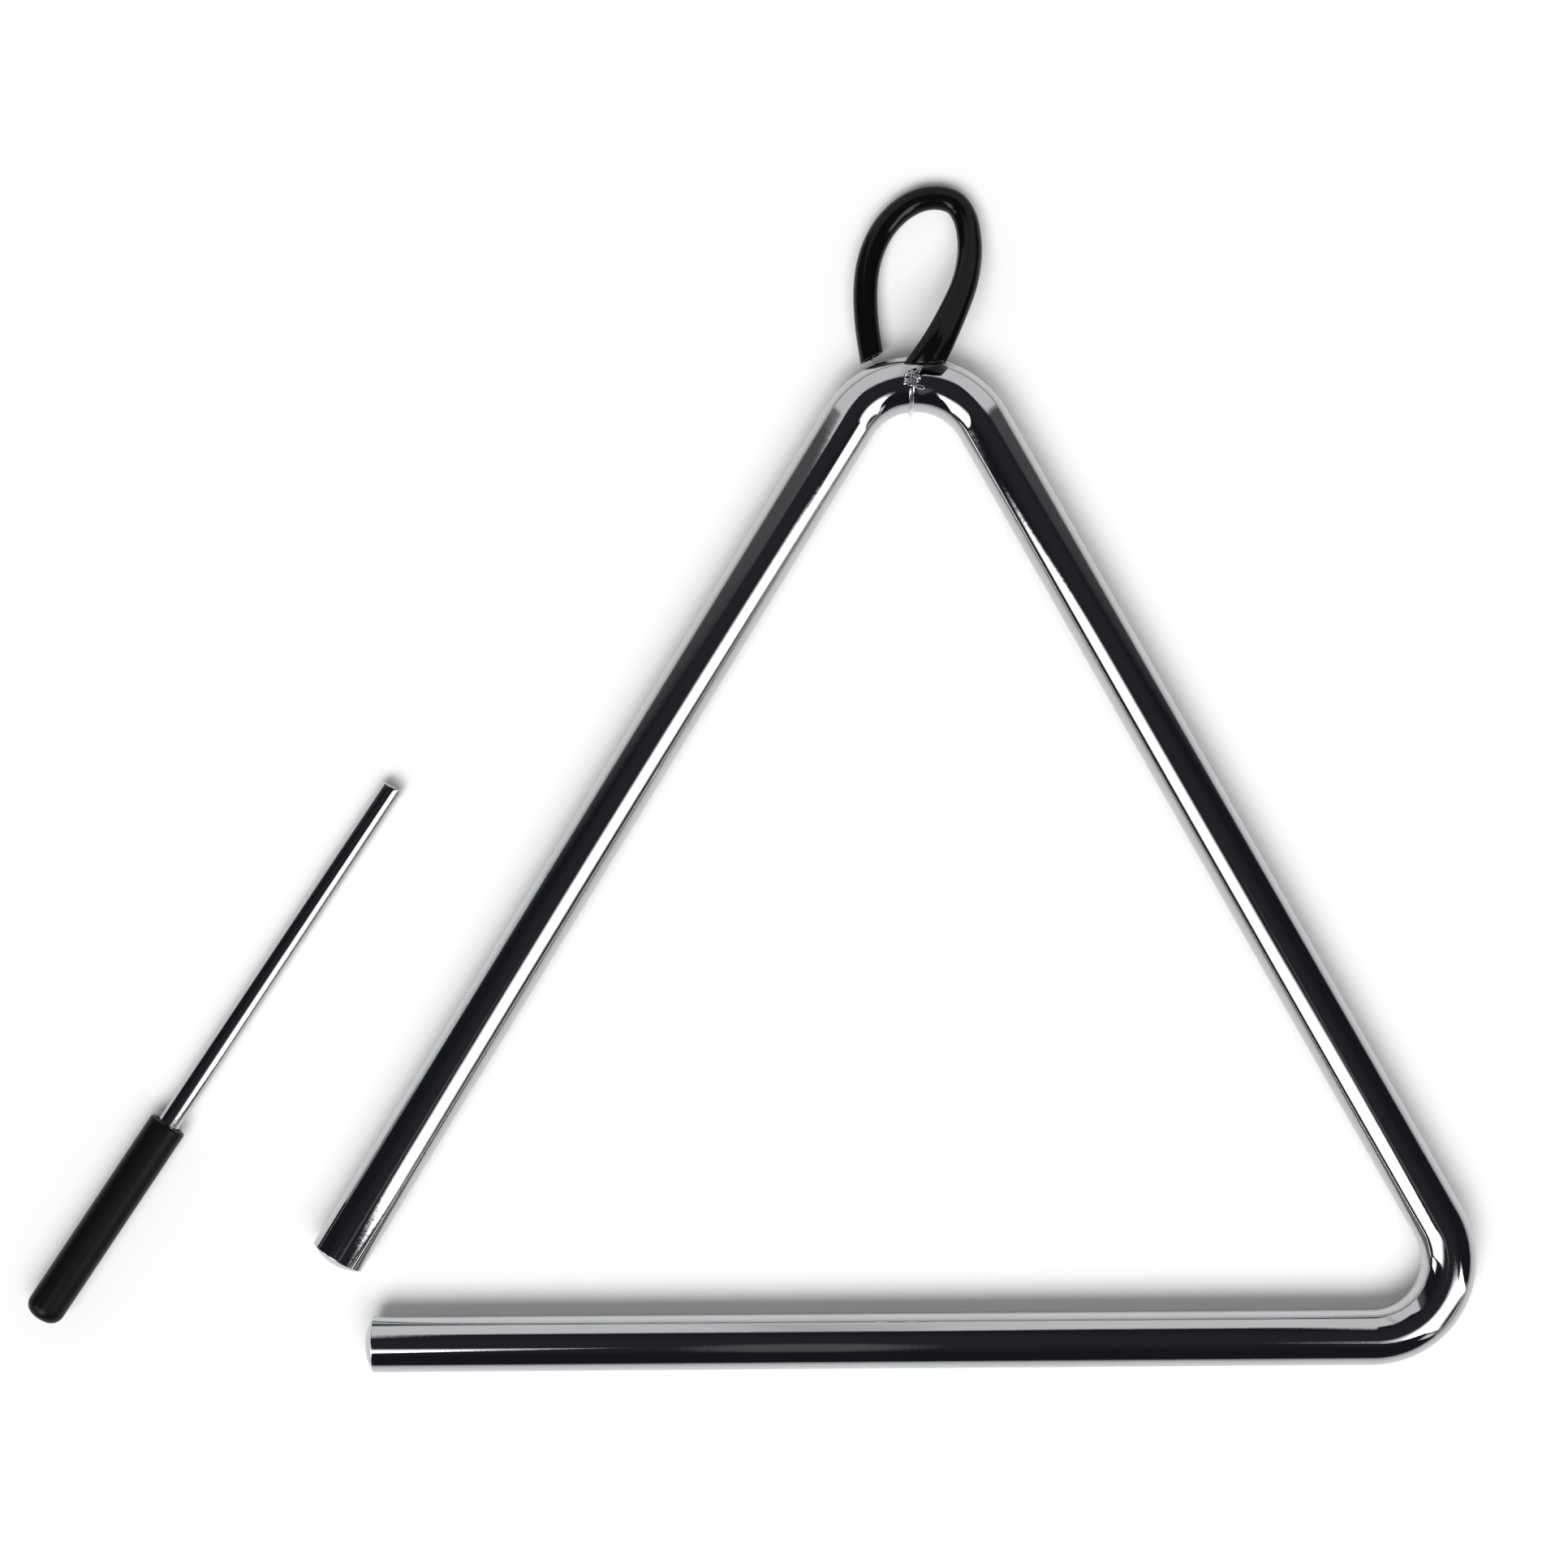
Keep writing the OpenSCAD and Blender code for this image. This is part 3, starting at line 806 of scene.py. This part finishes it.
def left_lamp_level(u, v):
    """A lamp with a slanting top, a second strip beyond its inner edge, and a foot below."""
    top = 0.135 + 0.24 * (u + 0.1) + 0.045 * smooth(0, 0.05, u)
    inner = max(-0.168, -0.125 + 0.14 * (v - 0.14))
    below_top = smooth(top + 0.085, top - 0.085, v)
    past_inner = smooth(inner - 0.01, inner + 0.01, u)
    short_of_outer = smooth(0.135, 0.115, u + 0.35 * max(0, v - 0.1))
    above_bottom = smooth(-0.385, -0.25, v + 0.15 * u)
    lit = below_top * past_inner * short_of_outer * above_bottom
    strip = smooth(-0.195, -0.21, u) * smooth(-0.08, -0.2, v) * smooth(-0.42, -0.33, v)
    near = smooth(-0.1, -0.2, u)
    foot = smooth(mix(-0.47, -0.4, near), -0.6, v) * smooth(-0.26, -0.2, u) * (0.8 + 0.8 * near)
    return lamp_level(max(lit, strip)) + FOOT_GLOW * foot


def right_lamp_level(u, v):
    """A lamp with a round top and bottom and a lower part beside it, and a strip and a foot."""
    top = 0.235 - 11 * (u + 0.045) ** 2
    bottom = -0.242 - 12 * (u + 0.03) ** 2
    inner = -0.125 - 0.012 * smooth(0, -0.2, v)
    beside = smooth(0.072, 0.088, u)
    below_top = mix(smooth(top + 0.09, top - 0.09, v), smooth(0.03, -0.06, v), beside)
    above_bottom = smooth(bottom - 0.09, bottom + 0.09, v)
    past_inner = smooth(inner - 0.007, inner + 0.007, u)
    short_of_outer = smooth(0.15, 0.14, u)
    lit = below_top * above_bottom * short_of_outer * past_inner
    strip = 0.5 * smooth(-0.148, -0.158, u) * smooth(-0.12, -0.22, v) * smooth(-0.43, -0.32, v)
    foot = smooth(-0.36, -0.54, v) * (1.25 - 0.6 * smooth(0.03, 0.12, abs(u + 0.02)))
    return lamp_level(max(lit, strip)) + FOOT_GLOW * foot


def wall_place(u, v):
    """The wall behind, leaning over the object: u in half widths from its middle, v in heights."""
    return Vector((mix(0.055, 0.035, v) + u * mix(1.085, 0.265, v), mix(0.9, 0.265, v), 0.41 * v))


def wall_level(u, v):
    """Grey with a stepped top and a dim middle, and a faint halo at both sides."""
    x = wall_place(u, v).x
    top = (0.94 + 0.2 * smooth(-0.11, -0.14, x) - 0.03 * smooth(0.05, 0.1, x)
           + 0.15 * smooth(0.17, 0.2, x))
    lit = WALL_GLOW * smooth(1.06, 0.94, abs(u)) * (1 - 0.28 * smooth(0.045, 0.01, abs(x - 0.02)))
    halo = HALO_GLOW * smooth(2.15, 0.95, abs(u))
    return (lit + halo) * smooth(top + 0.05, top - 0.05, v)


def patch_level(u, v):
    """A faint long oval."""
    return PATCH_GLOW * smooth(1, 0.5, math.hypot(u / 0.05, v / 0.24))


def sun(name, azimuth, elevation, level, spread):
    """A soft lamp far away, whose level is the share of full white it gives a flat floor."""
    lamp = bpy.data.lights.new(name, "SUN")
    lamp.energy = level * math.pi / math.sin(math.radians(elevation))
    lamp.angle = math.radians(spread)
    obj = bpy.data.objects.new(name, lamp)
    obj.rotation_euler = skyward(azimuth, elevation).to_track_quat("Z", "Y").to_euler()
    bpy.context.collection.objects.link(obj)
    obj.visible_glossy = False


# Camera, pieces, studio

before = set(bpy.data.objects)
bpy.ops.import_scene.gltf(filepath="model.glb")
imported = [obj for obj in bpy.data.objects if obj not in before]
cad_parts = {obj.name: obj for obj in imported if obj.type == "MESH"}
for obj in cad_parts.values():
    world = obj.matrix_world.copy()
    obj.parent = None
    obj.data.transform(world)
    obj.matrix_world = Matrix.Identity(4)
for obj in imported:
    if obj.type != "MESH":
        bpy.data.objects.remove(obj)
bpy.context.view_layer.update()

camera_data = bpy.data.cameras.new("view")
camera_data.sensor_width = SENSOR
camera_data.lens = SENSOR * VIEW_DISTANCE / VIEW_WIDTH
camera = bpy.data.objects.new("view", camera_data)
camera.location = (VIEW_X, VIEW_Y, BAR_R + VIEW_DISTANCE)
camera.rotation_euler = (0, 0, math.radians(VIEW_ROLL))
bpy.context.collection.objects.link(camera)
bpy.context.scene.camera = camera
bpy.context.scene.view_settings.view_transform = "Standard"

make_bar(chrome("bar_chrome", roughness=0.03))
make_sleeve(pvc("sleeve_pvc", tone=0.0032, roughness=0.13, gloss=0.22))
make_line(clear_line("clear_line"))
make_rod(chrome("rod_chrome", roughness=0.035))
make_grip(pvc("grip_pvc", tone=0.0045, roughness=0.3, gloss=0.12))

make_floor()
make_world()
dark_dome()
facing_card("left_lamp", plan=(0.126, -0.085), azimuth=209.3, elevation=44, distance=0.6,
            low=(-0.34, -0.6), high=(0.2, 0.32), level=left_lamp_level)
facing_card("right_lamp", plan=(-0.039, -0.0287), azimuth=-31.9, elevation=44, distance=1.2,
            low=(-0.2, -0.6), high=(0.18, 0.36), level=right_lamp_level)
glow_card("grey_wall", wall_place, low=(-2.4, 0), high=(2.4, 1.2), level=wall_level)
facing_card("grey_patch", plan=(0.012, -0.102), azimuth=270, elevation=70, distance=0.6,
            low=(-0.15, -0.26), high=(0.15, 0.26), level=patch_level)
sun("left_light", azimuth=242, elevation=58, level=0.52, spread=32)
sun("right_light", azimuth=-62, elevation=58, level=0.28, spread=32)
